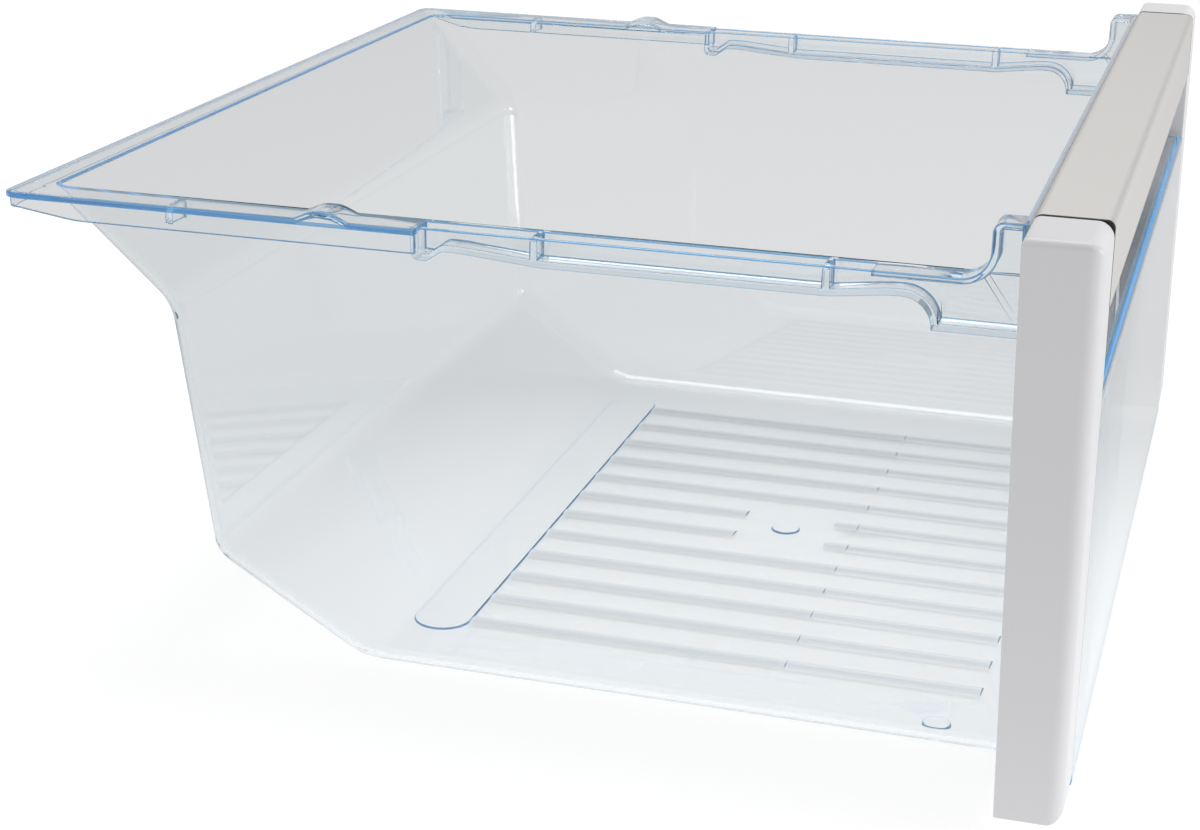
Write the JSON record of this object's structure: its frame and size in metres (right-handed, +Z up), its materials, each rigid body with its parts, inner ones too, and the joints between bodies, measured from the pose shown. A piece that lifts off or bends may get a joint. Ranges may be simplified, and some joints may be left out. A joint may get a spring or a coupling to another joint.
{
  "type": "fridge crisper drawer",
  "caption": "Clear moulded crisper drawer with a sloping back, ribbed floor and side runners, and a white-framed front with a clear window, silver strip and finger grip.",
  "frame": {"origin": "under the middle of the drawer, on the plane of the tub floor's underside", "axes": "+X across the width, +Y from the front panel to the back, +Z up"},
  "size_m": [0.5, 0.4266, 0.2209],
  "materials": {
    "clear_tub": "clear moulded polystyrene, blue at its edges",
    "white_frame": "satin white moulding",
    "silver_strip": "fine brushed, anodised",
    "clear_window": "clear moulded polystyrene"
  },
  "bodies": {
    "root": {"tub": "clear_tub", "front_frame": "white_frame", "handle_strip": "silver_strip", "window": "clear_window"}
  },
  "joints": []
}
